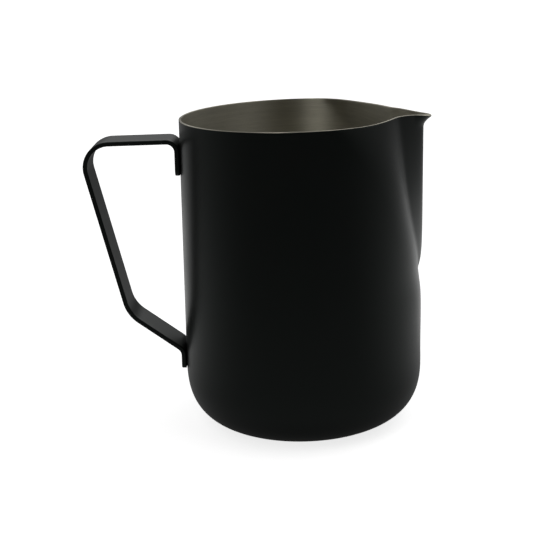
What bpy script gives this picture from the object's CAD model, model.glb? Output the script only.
"""Milk frothing pitcher: its looks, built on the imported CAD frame. Metres, +Z up, spout towards +X."""

import math

import bpy
from mathutils import Matrix, Vector


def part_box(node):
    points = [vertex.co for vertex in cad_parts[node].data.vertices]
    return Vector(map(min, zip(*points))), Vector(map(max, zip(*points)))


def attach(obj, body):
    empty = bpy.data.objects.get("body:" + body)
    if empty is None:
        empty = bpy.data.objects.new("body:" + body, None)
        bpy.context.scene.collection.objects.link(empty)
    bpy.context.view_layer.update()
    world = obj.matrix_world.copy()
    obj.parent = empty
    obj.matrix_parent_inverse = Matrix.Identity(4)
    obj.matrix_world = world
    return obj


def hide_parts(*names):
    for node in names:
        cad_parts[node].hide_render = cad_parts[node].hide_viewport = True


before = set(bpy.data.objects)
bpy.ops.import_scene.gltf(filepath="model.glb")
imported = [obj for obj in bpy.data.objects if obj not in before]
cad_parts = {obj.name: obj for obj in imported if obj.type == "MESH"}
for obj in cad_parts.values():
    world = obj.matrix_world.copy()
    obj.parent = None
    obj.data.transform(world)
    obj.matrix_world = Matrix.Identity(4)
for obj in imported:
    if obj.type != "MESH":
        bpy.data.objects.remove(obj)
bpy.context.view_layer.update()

MM = 0.001

# ---------------------------------------------------------------- sizes in mm, some from the frame
steel_low, steel_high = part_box("pitcher_shell")
coat_low, coat_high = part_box("shell_coating")
film_low, film_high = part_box("handle_coating")

# the jug: a soft base corner and a straight wall that tapers up to the rim
BODY_HEIGHT = steel_high.z / MM
COAT = steel_low.z / MM
BARE_RIM = (steel_high.z - coat_high.z) / MM
BASE_RADIUS = 0.5 * (coat_high.y - coat_low.y) / MM
SHEET = 0.8
CORNER_SIZE = 23.4
CORNER_POWER = 2.64
FLAT_RADIUS = BASE_RADIUS - CORNER_SIZE
WALL_TAPER = 2.15
WALL_SLOPE = WALL_TAPER / (BODY_HEIGHT - CORNER_SIZE)

# the spout: two facets that meet at the front ridge, or nose
SPOUT_FOOT = 57.0
SPOUT_OPENING = 33.0
SPOUT_HALF_WIDTH = 13.3
SPOUT_FADE = 4.0
OPENING_POWER = 0.75
NOSE_START, NOSE_END = 46.0, 46.9
NOSE_SOFTNESS = 0.06

# the narrow pouring lip at the top of the ridge
LIP_START, LIP_CURL = 110.8, 0.215
LIP_HALF_ANGLE = math.radians(8.5)
LIP_STOP, LIP_STOP_SOFTNESS = 5.0, 1.0

# the flank beside each facet, pressed in deeper and wider towards the rim; angles in degrees
PINCH_DEPTH, PINCH_FOOT, PINCH_FOOT_SOFTNESS = 4.6, 66.0, 6.0
PINCH_ANGLE_LOW, PINCH_ANGLE_RIM = 36.0, 76.0
PINCH_SOFTNESS = 0.12
FLANK_START_POWER = 1.55
FLANK_BOW = 2.0

# the crease between flank and facet
FLARE_FOOT = 92.0
CREASE_SOFTNESS, RIM_CREASE_SOFTNESS = 0.5, 1.2
CREASE_GROWTH, CREASE_LEAST = 0.25, 0.02
CREASE_FALL = 0.25

# the swell of the wall below the spout
BELLY_DEPTH = 0.8
BELLY_LOW, BELLY_TOP, BELLY_END = 22.0, 48.0, 60.0
BELLY_HALF_ANGLE = math.radians(50.0)

# the rim line: it sags a little towards the spout and droops at its tip
RIM_SAG = 0.48
SAG_START, SAG_END = 12.0, 31.0
DROOP_START, DROOP_RADIUS, DROOP_LIMIT = 36.0, 49.6, 20.0

# the handle's bar with its coat, and the corners of its middle line
BAR_WIDTH = (film_high.y - film_low.y) / MM
BAR_THICKNESS = 1.7
BAR_TOP = film_high.z / MM
TAB_BEND, GRIP_TOP_BEND, GRIP_LOW_BEND = 3.75, 9.0, 12.85
TAB_CORNER = 2.4
UPPER_TAB_END, LOWER_TAB_END = 96.45, 21.6
HANDLE_REACH = 79.97
GRIP_FOOT_REACH, GRIP_FOOT_HEIGHT = 65.53, 44.29
ARM_FOOT_HEIGHT = 29.18

# marks that the welding electrodes leave on the inside
WELD_HEIGHTS = (24.9, 99.0, 103.2)
DIMPLE_DEPTH = 0.07
DIMPLE_FLAT, DIMPLE_RADIUS = 0.9, 2.1
DIMPLE_HALF_ANGLE = 0.2

# rounding of the sheet edges along the rim
STEEL_EDGE, COAT_EDGE = 0.22, 0.045


# ---------------------------------------------------------------- form of the jug
def smoothstep(low, high, value):
    """0 below low, 1 above high, and an even S-curve between them."""
    share = min(max((value - low) / (high - low), 0.0), 1.0)
    return share * share * (3.0 - 2.0 * share)


def soft_ramp(value, softness):
    """max(value, 0) with the corner at 0 rounded over plus and minus softness."""
    if value <= -softness:
        return 0.0
    if value >= softness:
        return value
    return (value + softness) ** 2 / (4.0 * softness)


def soft_sine(angle):
    """The size of an angle's sine, rounded over at 0 to round the spout's front ridge."""
    return math.hypot(math.sin(angle), NOSE_SOFTNESS) - NOSE_SOFTNESS


def wall_radius(height):
    """Outer radius of the plain conical wall."""
    return BASE_RADIUS - (height - CORNER_SIZE) * WALL_SLOPE


def profile(travel):
    """Radius and height along the jug's side: 0 to 1 runs round the base corner, 1 to 2 up the wall."""
    if travel <= 1.0:
        turn = math.radians(90.0) * max(travel, 0.0)
        power = 2.0 / CORNER_POWER
        radius = BASE_RADIUS - CORNER_SIZE + CORNER_SIZE * math.sin(turn) ** power
        return radius, CORNER_SIZE * (1.0 - max(math.cos(turn), 0.0) ** power)
    height = CORNER_SIZE + (travel - 1.0) * (BODY_HEIGHT - CORNER_SIZE)
    return wall_radius(height), height


def belly(angle, height):
    """Swell of the wall below the spout, widest in the middle of the front."""
    if abs(angle) >= BELLY_HALF_ANGLE:
        return 0.0
    rise = smoothstep(BELLY_LOW, BELLY_TOP, height)
    fall = 1.0 - smoothstep(BELLY_TOP, BELLY_END, height)
    across = math.cos(0.5 * math.pi * angle / BELLY_HALF_ANGLE) ** 2
    return BELLY_DEPTH * rise * fall * across


def lip(angle, height):
    """How far the narrow pouring lip curls out of the front ridge."""
    if angle >= LIP_HALF_ANGLE or height <= LIP_START:
        return 0.0
    across = math.cos(0.5 * math.pi * angle / LIP_HALF_ANGLE) ** 2
    rise = height - LIP_START
    rise -= soft_ramp(rise - LIP_STOP, LIP_STOP_SOFTNESS)
    return LIP_CURL * rise ** 2 * across


def nose_reach(height):
    """Distance of the spout's front ridge from the jug's axis, without the lip."""
    share = (height - SPOUT_FOOT) / (BODY_HEIGHT - SPOUT_FOOT)
    ridge = NOSE_START + share * (NOSE_END - NOSE_START)
    start_gap = NOSE_START - wall_radius(SPOUT_FOOT)
    ridge -= start_gap * math.exp(-(height - SPOUT_FOOT) / SPOUT_FADE)
    return ridge


def section_radius(angle, radius, height):
    """Outer radius at an angle from the spout, where the round wall has the given radius."""
    plain = radius + belly(angle, height)
    if height <= SPOUT_FOOT:
        return plain
    angle = abs(angle)
    pinch_rise = BODY_HEIGHT - PINCH_FOOT
    depth = PINCH_DEPTH * soft_ramp(height - PINCH_FOOT, PINCH_FOOT_SOFTNESS) / pinch_rise
    opening = min((height - SPOUT_FOOT) / SPOUT_OPENING, 1.0)
    half_width = SPOUT_HALF_WIDTH * math.sin(0.5 * math.pi * opening ** OPENING_POWER)
    crease_radius = plain - depth
    crease = math.asin(half_width / crease_radius)

    # the flank is pressed in between the round wall and the crease
    climb = max(height - PINCH_FOOT, 0.0) / pinch_rise
    flank_start = math.radians(PINCH_ANGLE_LOW + (PINCH_ANGLE_RIM - PINCH_ANGLE_LOW) * climb ** 2)
    share = max(flank_start - angle, 0.0) / (flank_start - crease)
    power = 1.0 + FLANK_BOW * climb ** 3
    pressed = 1.0 - soft_ramp(1.0 - share ** FLANK_START_POWER, PINCH_SOFTNESS) ** power
    flank = plain - depth * pressed

    # the facet runs from the crease to the front ridge
    reach = nose_reach(height)
    slope = (reach / crease_radius - math.cos(crease)) / soft_sine(crease)
    flare = smoothstep(FLARE_FOOT, BODY_HEIGHT, height)
    if angle < crease:
        stand_out = reach / (math.cos(angle) + slope * soft_sine(angle)) - crease_radius
    else:
        stand_out = -CREASE_FALL * (angle - crease) * crease_radius
    most = CREASE_SOFTNESS + (RIM_CREASE_SOFTNESS - CREASE_SOFTNESS) * flare
    softness = min(most, CREASE_GROWTH * (reach - plain) + CREASE_LEAST)
    return flank + soft_ramp(stand_out, softness) + lip(angle, height)


def form_point(travel, angle):
    """A point of the outer form."""
    radius, height = profile(travel)
    radius = section_radius(angle, radius, height)
    return Vector((radius * math.cos(angle), radius * math.sin(angle), height))


def form_frame(travel, angle):
    """A point of the outer form, its outward and upward directions, and its length per unit of travel."""
    step = 0.0005
    along = form_point(travel + step, angle) - form_point(max(travel - step, 0.0), angle)
    around = form_point(travel, angle + step) - form_point(travel, angle - step)
    outward = around.cross(along).normalized()
    speed = along.length / (2.0 * step)
    return form_point(travel, angle), outward, along.normalized(), speed


def rim_height(reach):
    """Height of the rim over a point at this reach towards the spout."""
    share = min(max((reach - SAG_START) / (SAG_END - SAG_START), 0.0), 1.0)
    sag = 2.0 * share ** 2 if share < 0.5 else 1.0 - 2.0 * (1.0 - share) ** 2
    run = min(max(reach - DROOP_START, 0.0), DROOP_LIMIT)
    return BODY_HEIGHT - RIM_SAG * sag - DROOP_RADIUS + math.sqrt(DROOP_RADIUS ** 2 - run ** 2)


RIM_SEARCH = (1.5, 2.02)
RIM_SEARCH_STEPS = 40


def rim_travel(angle, drop):
    """Travel at which the form meets the rim line, drop lower than the true rim."""
    low, high = RIM_SEARCH
    for _ in range(RIM_SEARCH_STEPS):
        middle = 0.5 * (low + high)
        point = form_point(middle, angle)
        if point.z < rim_height(point.x) - drop:
            low = middle
        else:
            high = middle
    return low


# ---------------------------------------------------------------- meshes
HALF_COLUMNS = 120
COLUMN_CROWDING = 0.7
CORNER_ROWS, CORNER_CROWDING = 26, 1.2
WALL_ROWS = 74
TOP_ROWS = 14
LEVEL_ROWS_END = 106.0
SHARED_TRAVEL = 1.0 + (LEVEL_ROWS_END - CORNER_SIZE) / (BODY_HEIGHT - CORNER_SIZE)
FLOOR_RINGS = 5
EDGE_STEPS = 4


def column_angles():
    """Angle of each column from the spout, both ways round, crowded at the spout and at the handle."""
    count = 2 * HALF_COLUMNS
    angles = []
    for index in range(count):
        share = 2.0 * index / count
        wave = COLUMN_CROWDING * math.sin(2.0 * math.pi * share) / (2.0 * math.pi)
        angle = math.pi * (share - wave)
        angles.append(angle if angle <= math.pi else angle - 2.0 * math.pi)
    return angles


def side_travels(top):
    """Travel of each row of a column that ends at top: rows are level up to LEVEL_ROWS_END."""
    corner = [(index / CORNER_ROWS) ** CORNER_CROWDING for index in range(CORNER_ROWS)]
    wall = [1.0 + (SHARED_TRAVEL - 1.0) * index / WALL_ROWS for index in range(WALL_ROWS)]
    upper = [SHARED_TRAVEL + (top - SHARED_TRAVEL) * index / TOP_ROWS for index in range(TOP_ROWS + 1)]
    return corner + wall + upper


def mesh_object(name, points, faces, material):
    """A smooth mesh object from points in mm."""
    mesh = bpy.data.meshes.new(name)
    mesh.from_pydata([tuple(point * MM) for point in points], [], faces)
    mesh.validate()
    mesh.polygons.foreach_set("use_smooth", [True] * len(mesh.polygons))
    mesh.materials.append(material)
    obj = bpy.data.objects.new(name, mesh)
    bpy.context.scene.collection.objects.link(obj)
    return obj


def weld_dimple(angle, height):
    """Depth of the electrode marks on the inside, behind the handle's tabs."""
    if abs(abs(angle) - math.pi) > DIMPLE_HALF_ANGLE:
        return 0.0
    across = (math.pi - abs(angle)) * wall_radius(height)
    depth = 0.0
    for mark in WELD_HEIGHTS:
        away = math.hypot(across, height - mark)
        depth += DIMPLE_DEPTH * (1.0 - smoothstep(DIMPLE_FLAT, DIMPLE_RADIUS, away))
    return depth


def skin_column(angle, top, inset, edge):
    """Rows of one skin, from the middle of the base to edge short of the top."""
    rows = []
    for index in range(1, FLOOR_RINGS):
        ring = FLAT_RADIUS * index / FLOOR_RINGS
        rows.append(Vector((ring * math.cos(angle), ring * math.sin(angle), inset)))
    _point, _outward, _up, speed = form_frame(top, angle)
    for travel in side_travels(top - edge / speed):
        point, outward, _up, _speed = form_frame(travel, angle)
        rows.append(point - outward * inset)
    # the first row of the corner still lies on the flat base
    rows[FLOOR_RINGS - 1].z = inset
    return rows


def edge_rounding(centre, outward, up, half, edge):
    """The rim edge of a sheet, rounded from its outer side over to its inner side."""
    rows = []
    for side in (1.0, -1.0):
        for step in range(EDGE_STEPS + 1):
            turn = 0.5 * math.pi * step / EDGE_STEPS
            if side < 0:
                turn = 0.5 * math.pi - turn
            out = side * (half - edge + edge * math.cos(turn))
            rise = edge * math.sin(turn) - edge
            rows.append(centre + outward * out + up * rise)
    return rows


def shell_column(angle, outer_inset, inner_inset, drop, edge, inner_marks):
    """One column of a thin wall: up its outer skin, over the rim edge and down its inner skin."""
    top = rim_travel(angle, drop)
    outer = skin_column(angle, top, outer_inset, edge)
    inner = skin_column(angle, top, inner_inset, edge)
    if inner_marks:
        inward = Vector((-math.cos(angle), -math.sin(angle), 0.0))
        for row in inner:
            row -= inward * weld_dimple(angle, row.z)
    point, outward, up, _speed = form_frame(top, angle)
    centre = point - outward * 0.5 * (inner_inset + outer_inset)
    rim = edge_rounding(centre, outward, up, 0.5 * (inner_inset - outer_inset), edge)
    return outer[:-1] + rim + inner[:-1][::-1]


def shell_mesh(name, outer_inset, inner_inset, drop, edge, material, inner_marks):
    """A closed thin wall between two insets of the form, with a rounded edge at the top."""
    columns = []
    for angle in column_angles():
        columns.append(shell_column(angle, outer_inset, inner_inset, drop, edge, inner_marks))
    count, per_column = len(columns), len(columns[0])
    starts = [index * per_column for index in range(count)]
    neighbours = list(zip(starts, starts[1:] + starts[:1]))
    points = [point for column in columns for point in column]
    faces = []
    for this, after in neighbours:
        for row in range(per_column - 1):
            faces.append((this + row, after + row, after + row + 1, this + row + 1))

    # the base is closed at its middle, outside and inside
    points.append(Vector((0.0, 0.0, outer_inset)))
    points.append(Vector((0.0, 0.0, inner_inset)))
    under, floor = len(points) - 2, len(points) - 1
    last = per_column - 1
    for this, after in neighbours:
        faces.append((under, after, this))
    for this, after in neighbours:
        faces.append((floor, this + last, after + last))
    return mesh_object(name, points, faces, material)


# ---------------------------------------------------------------- the handle
def tab_point(height):
    """A point of a tab's middle line in the XZ plane: the tab lies along the steel wall."""
    return Vector((-(wall_radius(height) - COAT + 0.5 * BAR_THICKNESS - COAT), height))


def handle_path():
    """The bar's middle line as lines and arcs: (kind, start, direction, length, signed radius)."""
    top = BAR_TOP - 0.5 * BAR_THICKNESS
    corners = [
        tab_point(UPPER_TAB_END),
        tab_point(top),
        Vector((-HANDLE_REACH, top)),
        Vector((-GRIP_FOOT_REACH, GRIP_FOOT_HEIGHT)),
        tab_point(ARM_FOOT_HEIGHT),
        tab_point(LOWER_TAB_END),
    ]
    bends = (TAB_BEND, GRIP_TOP_BEND, GRIP_LOW_BEND, TAB_BEND)
    pieces = []
    start = corners[0]
    for index, radius in enumerate(bends):
        before = (corners[index + 1] - corners[index]).normalized()
        after = (corners[index + 2] - corners[index + 1]).normalized()
        turn = math.atan2(before.x * after.y - before.y * after.x, before.dot(after))
        setback = radius * math.tan(abs(turn) / 2.0)
        bend_start = corners[index + 1] - before * setback
        pieces.append(("line", start, before, (bend_start - start).length, 0.0))
        pieces.append(("arc", bend_start, before, radius * abs(turn), math.copysign(radius, turn)))
        start = corners[index + 1] + after * setback
    last = corners[-1] - start
    pieces.append(("line", start, last.normalized(), last.length, 0.0))
    return pieces


def path_point(pieces, distance):
    """Point and direction of the middle line at a distance along it."""
    for index, (kind, start, direction, length, radius) in enumerate(pieces):
        if distance <= length or index == len(pieces) - 1:
            if kind == "line":
                return start + direction * distance, direction
            turn = distance / radius
            normal = Vector((-direction.y, direction.x))
            centre = start + normal * radius
            cosine, sine = math.cos(turn), math.sin(turn)
            arm = start - centre
            turned = Vector((arm.x * cosine - arm.y * sine, arm.x * sine + arm.y * cosine))
            along = direction.x * cosine - direction.y * sine
            rise = direction.x * sine + direction.y * cosine
            return centre + turned, Vector((along, rise))
        distance -= length


BAR_EDGE = 0.32
BAR_EDGE_STEPS = 4
BAR_ACROSS = 12
BAR_STEP = 0.8
CORNER_STEPS, CORNER_STEP_CROWDING = 9, 1.3
THINNEST_EDGE_SHARE = 0.98


def bar_ring(half_width, half_thickness, edge):
    """The upper half of the bar's section, left to right, as (across, through)."""
    flat = half_width - edge
    straight = half_thickness - edge
    upper = []
    for step in range(BAR_EDGE_STEPS + 1):
        turn = math.pi - 0.5 * math.pi * step / BAR_EDGE_STEPS
        upper.append((-flat + edge * math.cos(turn), straight + edge * math.sin(turn)))
    for step in range(1, BAR_ACROSS):
        upper.append((-flat + 2.0 * flat * step / BAR_ACROSS, half_thickness))
    for step in range(BAR_EDGE_STEPS + 1):
        turn = 0.5 * math.pi - 0.5 * math.pi * step / BAR_EDGE_STEPS
        upper.append((flat + edge * math.cos(turn), straight + edge * math.sin(turn)))
    return upper


def bar_stations(length):
    """Stations along the bar, finer at both ends: (distance, half width, half thickness, edge)."""
    head = []
    for step in range(BAR_EDGE_STEPS + 1):
        turn = 0.5 * math.pi * step / BAR_EDGE_STEPS
        distance = BAR_EDGE * (1.0 - math.cos(turn))
        shrink = BAR_EDGE * (1.0 - math.sin(turn))
        head.append((distance, shrink))
    for step in range(1, CORNER_STEPS + 1):
        share = (step / CORNER_STEPS) ** CORNER_STEP_CROWDING
        head.append((BAR_EDGE + (TAB_CORNER - BAR_EDGE) * share, 0.0))
    count = int((length - 2.0 * TAB_CORNER) / BAR_STEP)
    middle = [TAB_CORNER + (length - 2.0 * TAB_CORNER) * step / count for step in range(1, count)]
    stations = head + [(distance, 0.0) for distance in middle]
    stations += [(length - distance, shrink) for distance, shrink in reversed(head)]
    rows = []
    for distance, shrink in stations:
        from_end = min(distance, length - distance)
        inside = max(TAB_CORNER - from_end, 0.0)
        half_width = 0.5 * BAR_WIDTH - TAB_CORNER + math.sqrt(max(TAB_CORNER ** 2 - inside ** 2, 0.0))
        half_thickness = 0.5 * BAR_THICKNESS - shrink
        edge = min(BAR_EDGE, half_thickness * THINNEST_EDGE_SHARE)
        rows.append((distance, half_width, half_thickness, edge))
    return rows


def handle_mesh(name, material):
    """The bent flat bar with rounded edges and rounded tab corners."""
    pieces = handle_path()
    length = sum(piece[3] for piece in pieces)
    points, rings = [], []
    for distance, half_width, half_thickness, edge in bar_stations(length):
        place, heading = path_point(pieces, distance)
        normal = Vector((-heading.y, heading.x))
        upper = bar_ring(half_width, half_thickness, edge)
        lower = [(across, -through) for across, through in upper]
        ring = []
        for across, through in upper + lower[::-1]:
            spot = place + normal * through
            points.append(Vector((spot.x, across, spot.y)))
            ring.append(len(points) - 1)
        rings.append(ring)
    faces = []
    size = len(rings[0])
    for first, second in zip(rings, rings[1:]):
        for index in range(size):
            after = (index + 1) % size
            faces.append((first[index], first[after], second[after], second[index]))
    half = size // 2
    for ring, flip in ((rings[0], False), (rings[-1], True)):
        for index in range(half - 1):
            quad = (ring[index], ring[size - 1 - index], ring[size - 2 - index], ring[index + 1])
            faces.append(quad[::-1] if flip else quad)
    return mesh_object(name, points, faces, material)


# ---------------------------------------------------------------- materials
COAT_ROUGHNESS, COAT_CLOUDINESS = 0.32, 0.025
COAT_DARK, COAT_LIGHT = (0.0032, 0.0036, 0.0034), (0.0052, 0.0056, 0.0052)
COAT_TINT = (0.87, 1.0, 0.94)
STEEL_DARK, STEEL_LIGHT = (0.47, 0.45, 0.37), (0.66, 0.635, 0.53)
STEEL_ROUGHNESS = (0.38, 0.50)
BRUSHING_LENGTH = 0.0016


class Nodes:
    """A small helper that adds and links shader nodes in one tree."""

    def __init__(self, tree):
        self.tree = tree

    def add(self, kind, **settings):
        """A new node with some of its settings."""
        node = self.tree.nodes.new(kind)
        for key, value in settings.items():
            setattr(node, key, value)
        return node

    def feed(self, socket, value):
        """Gives a socket a number, a colour or the output of another node."""
        if isinstance(value, bpy.types.NodeSocket):
            self.tree.links.new(value, socket)
        elif isinstance(value, tuple):
            socket.default_value = (*value, 1.0)
        else:
            socket.default_value = value

    def math(self, operation, first, second=0.0):
        """The result of one sum, product or function."""
        node = self.add("ShaderNodeMath", operation=operation)
        self.feed(node.inputs[0], first)
        self.feed(node.inputs[1], second)
        return node.outputs[0]

    def product(self, *values):
        """All the values multiplied together."""
        result = values[0]
        for value in values[1:]:
            result = self.math("MULTIPLY", result, value)
        return result

    def total(self, *values):
        """All the values added up."""
        result = values[0]
        for value in values[1:]:
            result = self.math("ADD", result, value)
        return result

    def noise(self, vector, scale, detail=2.0, roughness=0.5):
        """A fixed cloudy pattern between 0 and 1."""
        node = self.add("ShaderNodeTexNoise")
        self.feed(node.inputs["Vector"], vector)
        self.feed(node.inputs["Scale"], scale)
        self.feed(node.inputs["Detail"], detail)
        self.feed(node.inputs["Roughness"], roughness)
        return node.outputs["Fac"]

    def polar(self, x, y):
        """Angle and distance of a place from the middle."""
        distance = self.math("SQRT", self.total(self.product(x, x), self.product(y, y)))
        return self.math("ARCTAN2", y, x), distance

    def split(self, vector):
        """The three parts of a vector."""
        node = self.add("ShaderNodeSeparateXYZ")
        self.feed(node.inputs["Vector"], vector)
        return node.outputs

    def spread(self, value, from_low, from_high, to_low, to_high, smooth=False):
        """A value carried from one range to another, and held at its ends."""
        node = self.add("ShaderNodeMapRange", interpolation_type="SMOOTHSTEP" if smooth else "LINEAR")
        self.feed(node.inputs["Value"], value)
        self.feed(node.inputs["From Min"], from_low)
        self.feed(node.inputs["From Max"], from_high)
        self.feed(node.inputs["To Min"], to_low)
        self.feed(node.inputs["To Max"], to_high)
        return node.outputs["Result"]

    def fade(self, angle, low, high, to_low, to_high):
        """A soft change of level between two angles in degrees."""
        return self.spread(angle, math.radians(low), math.radians(high), to_low, to_high, smooth=True)

    def hump(self, angle, centre, half_width, softness, height):
        """A flat-topped hump of the given height round an angle; the three angles are in degrees."""
        away = self.math("ABSOLUTE", self.math("SUBTRACT", angle, math.radians(centre)))
        return self.fade(away, half_width - softness, half_width + softness, height, 0.0)

    def mix(self, factor, first, second):
        """A blend of two colours."""
        node = self.add("ShaderNodeMix", data_type="RGBA")
        self.feed(node.inputs[0], factor)
        self.feed(node.inputs[6], first)
        self.feed(node.inputs[7], second)
        return node.outputs[2]

    def blend(self, factor, first, second):
        """A blend of two numbers."""
        node = self.add("ShaderNodeMix", data_type="FLOAT")
        self.feed(node.inputs[0], factor)
        self.feed(node.inputs[2], first)
        self.feed(node.inputs[3], second)
        return node.outputs[0]

    def bump(self, height, strength, distance):
        """A surface direction that follows a fine height pattern."""
        node = self.add("ShaderNodeBump")
        self.feed(node.inputs["Strength"], strength)
        self.feed(node.inputs["Distance"], distance)
        self.feed(node.inputs["Height"], height)
        return node.outputs["Normal"]


def new_material(name):
    """An empty material, its node helper and its main shader."""
    material = bpy.data.materials.new(name)
    material.use_nodes = True
    return material, Nodes(material.node_tree), material.node_tree.nodes["Principled BSDF"]


def black_coat(name):
    """Satin black coat: a very fine orange peel and a faintly cloudy gloss."""
    material, nodes, shader = new_material(name)
    place = nodes.add("ShaderNodeTexCoord").outputs["Object"]
    peel = nodes.noise(place, 2600.0, 3.0, 0.6)
    cloud = nodes.noise(place, 70.0, 4.0, 0.55)
    fine = nodes.noise(place, 900.0)
    nodes.feed(shader.inputs["Base Color"], nodes.mix(cloud, COAT_DARK, COAT_LIGHT))
    glossy, dull = COAT_ROUGHNESS - COAT_CLOUDINESS, COAT_ROUGHNESS + COAT_CLOUDINESS
    nodes.feed(shader.inputs["Roughness"], nodes.spread(nodes.total(cloud, fine), 0.7, 1.3, glossy, dull))
    nodes.feed(shader.inputs["IOR"], 1.5)
    nodes.feed(shader.inputs["Specular Tint"], COAT_TINT)
    nodes.feed(shader.inputs["Normal"], nodes.bump(peel, 0.1, 0.00003))
    return material


def brushed_steel(name):
    """Bare stainless with fine brushing that runs round the jug, and round the middle on its floor."""
    material, nodes, shader = new_material(name)
    place = nodes.add("ShaderNodeTexCoord").outputs["Object"]
    x, y, z = nodes.split(place)
    angle, radius = nodes.polar(x, y)
    joined = nodes.add("ShaderNodeCombineXYZ")
    nodes.feed(joined.inputs[0], nodes.product(angle, BRUSHING_LENGTH))
    nodes.feed(joined.inputs[1], nodes.math("SUBTRACT", z, radius))
    lines = nodes.noise(joined.outputs[0], 5200.0, 4.0, 0.65)
    broad = nodes.noise(joined.outputs[0], 620.0, 3.0, 0.6)
    cloud = nodes.noise(place, 60.0, 3.0)
    tone = nodes.spread(nodes.total(lines, nodes.product(broad, 0.6)), 0.5, 1.1, 0.0, 1.0)
    nodes.feed(shader.inputs["Base Color"], nodes.mix(tone, STEEL_DARK, STEEL_LIGHT))
    nodes.feed(shader.inputs["Metallic"], 1.0)
    roughness = nodes.spread(nodes.total(lines, cloud), 0.6, 1.4, *STEEL_ROUGHNESS)
    nodes.feed(shader.inputs["Roughness"], roughness)
    nodes.feed(shader.inputs["Anisotropic"], 0.9)
    nodes.feed(shader.inputs["Anisotropic Rotation"], 0.25)
    tangent = nodes.add("ShaderNodeTangent", direction_type="RADIAL", axis="Z")
    nodes.feed(shader.inputs["Tangent"], tangent.outputs[0])
    nodes.feed(shader.inputs["Normal"], nodes.bump(lines, 0.18, 0.00002))
    return material


# ---------------------------------------------------------------- studio
# In both parts of the studio, turn is an angle seen from above: 0 in front of the object, positive to its
# right and 180 degrees behind it. The camera sees a nearly white room; the object reflects a dimmer one.
FLOOR_RADIUS, FLOOR_SIDES = 9.0, 96
FLOOR_SEEN, FLOOR_GLOW = 0.75, 0.8
BLACK, WHITE = (0.0, 0.0, 0.0), (1.0, 1.0, 1.0)
LEAST_LIGHT = 0.02
BACK_LIGHT, LOW_BACK_GAIN, HIGH_BACK_GAIN = 0.35, 2.2, 0.75


def floor_light(nodes, x, y):
    """How bright each place of the floor is in reflections, with soft lights at both sides and behind."""
    turn, away = nodes.polar(nodes.product(y, -1.0), x)
    under = nodes.spread(away, 0.028, 0.06, 0.3, 1.0, smooth=True)
    near = nodes.product(nodes.spread(away, 0.08, 0.42, 0.14, 0.075, smooth=True), under)
    right = nodes.hump(turn, 160.0, 60.0, 60.0, 0.44)
    left = nodes.hump(turn, -160.0, 60.0, 60.0, 0.35)
    turned = nodes.math("ABSOLUTE", turn)
    rear = nodes.hump(turned, 148.0, 14.0, 10.0, 0.3)
    contact = nodes.spread(away, 0.045, 0.16, 0.25, 1.0, smooth=True)
    far = nodes.spread(away, 0.2, 0.9, 1.0, 0.25, smooth=True)
    gap = nodes.fade(turned, 158.0, 172.0, 1.0, 0.12)
    sides = nodes.product(nodes.total(right, left, rear), contact, far, gap)
    return nodes.total(near, sides)


def floor_material():
    """A plain pale floor, nearly white to the camera and dim in reflections."""
    material, nodes, shader = new_material("pale_floor")
    seen = nodes.add("ShaderNodeLightPath").outputs["Is Camera Ray"]
    x, y, _z = nodes.split(nodes.add("ShaderNodeTexCoord").outputs["Object"])
    nodes.feed(shader.inputs["Base Color"], nodes.mix(seen, BLACK, (FLOOR_SEEN,) * 3))
    nodes.feed(shader.inputs["Roughness"], 0.9)
    nodes.feed(shader.inputs["Specular IOR Level"], 0.0)
    nodes.feed(shader.inputs["Emission Color"], WHITE)
    glow = nodes.blend(seen, floor_light(nodes, x, y), FLOOR_GLOW)
    nodes.feed(shader.inputs["Emission Strength"], glow)
    return material


def add_floor():
    """A wide round floor under the base."""
    bpy.ops.mesh.primitive_circle_add(
        vertices=FLOOR_SIDES, radius=FLOOR_RADIUS, fill_type="NGON", location=(0, 0, 0)
    )
    floor = bpy.context.object
    floor.name = "floor"
    floor.data.materials.append(floor_material())


def sky_light(nodes, turn, climb):
    """How bright each direction is in reflections: some lights near the horizon, others high up."""
    back = nodes.fade(nodes.math("ABSOLUTE", turn), 85.0, 165.0, 0.0, BACK_LIGHT)
    low_back = nodes.product(back, nodes.fade(climb, 8.0, 18.0, 0.0, LOW_BACK_GAIN))
    low_right = nodes.hump(turn, 110.0, 45.0, 30.0, 0.1)
    low_left = nodes.hump(turn, -110.0, 40.0, 30.0, 0.2)
    horizon = nodes.total(low_back, low_right, low_left, LEAST_LIGHT)
    strip = nodes.hump(turn, -27.0, 11.5, 3.0, 2.3)
    high_right = nodes.hump(turn, 95.0, 57.0, 17.0, 0.95)
    high_left = nodes.hump(turn, -118.0, 35.0, 25.0, 0.24)
    high_back = nodes.product(back, HIGH_BACK_GAIN)
    upper = nodes.total(strip, high_right, high_left, high_back, LEAST_LIGHT)
    return nodes.blend(nodes.fade(climb, 22.0, 45.0, 0.0, 1.0), horizon, upper)


def add_world():
    """Soft studio surround: light behind and at both sides, a strip high in front, white to the camera."""
    world = bpy.data.worlds.new("studio")
    bpy.context.scene.world = world
    world.use_nodes = True
    nodes = Nodes(world.node_tree)
    background = world.node_tree.nodes["Background"]
    x, y, z = nodes.split(nodes.add("ShaderNodeTexCoord").outputs["Generated"])
    turn, _level = nodes.polar(nodes.product(y, -1.0), x)
    light = sky_light(nodes, turn, nodes.math("ARCSINE", z))
    grey = nodes.add("ShaderNodeCombineXYZ")
    for socket in grey.inputs:
        nodes.feed(socket, light)
    seen = nodes.add("ShaderNodeLightPath").outputs["Is Camera Ray"]
    nodes.feed(background.inputs["Color"], nodes.mix(seen, grey.outputs[0], WHITE))


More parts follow.
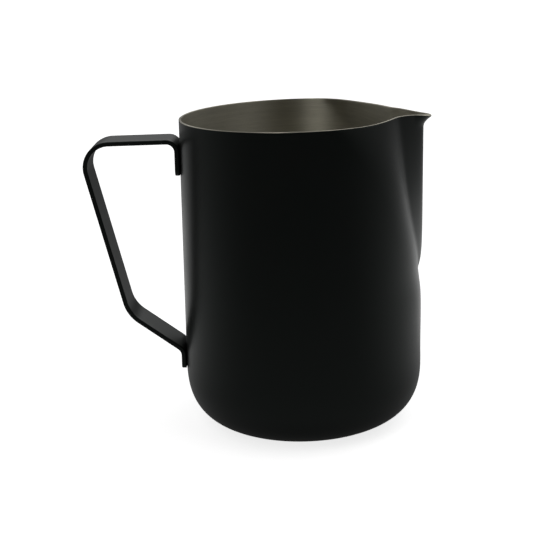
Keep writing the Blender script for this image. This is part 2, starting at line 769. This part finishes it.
CAMERA_DISTANCE, CAMERA_HEIGHT = 0.4458, 0.1809
CAMERA_PITCH, CAMERA_YAW, CAMERA_ROLL = math.radians(15.91), math.radians(-1.03), math.radians(-2.11)
CAMERA_LENS, CAMERA_SENSOR = 78.18, 36.0


def add_camera():
    """A long-lens camera a little above the rim, square to the handle and spout."""
    camera = bpy.data.cameras.new("camera")
    camera.lens, camera.sensor_width = CAMERA_LENS, CAMERA_SENSOR
    obj = bpy.data.objects.new("camera", camera)
    bpy.context.scene.collection.objects.link(obj)
    flat = math.cos(CAMERA_PITCH)
    forward = Vector((math.sin(CAMERA_YAW) * flat, math.cos(CAMERA_YAW) * flat, -math.sin(CAMERA_PITCH)))
    level = Vector((math.cos(CAMERA_YAW), -math.sin(CAMERA_YAW), 0.0))
    upright = level.cross(forward)
    right = level * math.cos(CAMERA_ROLL) + upright * math.sin(CAMERA_ROLL)
    up = upright * math.cos(CAMERA_ROLL) - level * math.sin(CAMERA_ROLL)
    turn = Matrix((right, up, -forward)).transposed().to_4x4()
    obj.matrix_world = Matrix.Translation((0.0, -CAMERA_DISTANCE, CAMERA_HEIGHT)) @ turn
    bpy.context.scene.camera = obj


# ---------------------------------------------------------------- assembly
def paint(node_name, material):
    """Gives a CAD node that stays in view its material."""
    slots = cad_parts[node_name].data.materials
    slots.clear()
    slots.append(material)


coat = black_coat("black_satin_coat")
steel = brushed_steel("brushed_stainless")

jug = shell_mesh("jug_sheet", COAT, COAT + SHEET, 0.0, STEEL_EDGE, steel, True)
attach(jug, "root")
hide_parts("pitcher_shell")

jug_coat = shell_mesh("jug_coat", 0.0, COAT, BARE_RIM, COAT_EDGE, coat, False)
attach(jug_coat, "root")
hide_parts("shell_coating")

handle = handle_mesh("handle_bar", coat)
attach(handle, "root")
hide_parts("handle_coating", "handle_strap")

for node_name in ("upper_weld_nuggets", "lower_weld_nugget"):
    paint(node_name, steel)

add_floor()
add_world()
add_camera()
bpy.context.scene.view_settings.view_transform = "Standard"
